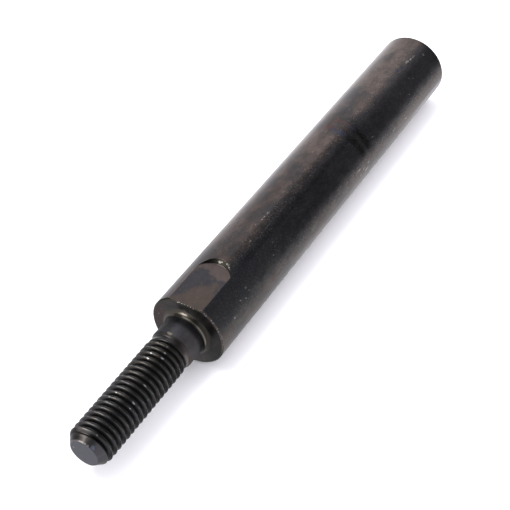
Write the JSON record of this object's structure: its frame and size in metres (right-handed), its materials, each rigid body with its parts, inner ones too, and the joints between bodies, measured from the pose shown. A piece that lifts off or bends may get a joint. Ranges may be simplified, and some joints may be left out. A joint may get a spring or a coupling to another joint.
{
  "type": "threaded pin with a wrench flat",
  "caption": "One-piece turned steel pin: long plain shank, square shoulder with one wrench flat, and a coarse right-hand threaded stud with a bevelled tip.",
  "frame": {"origin": "centre of the shank's plain end, on which the pin stands", "axes": "+Z along the pin's axis towards the threaded tip; the wrench flat faces -Y"},
  "size_m": [0.018, 0.018, 0.15],
  "materials": {
    "black_steel": "satin black oxide, mottled brown and blue, worn bright on the edges"
  },
  "bodies": {
    "root": {"threaded_pin": "black_steel"}
  },
  "joints": []
}
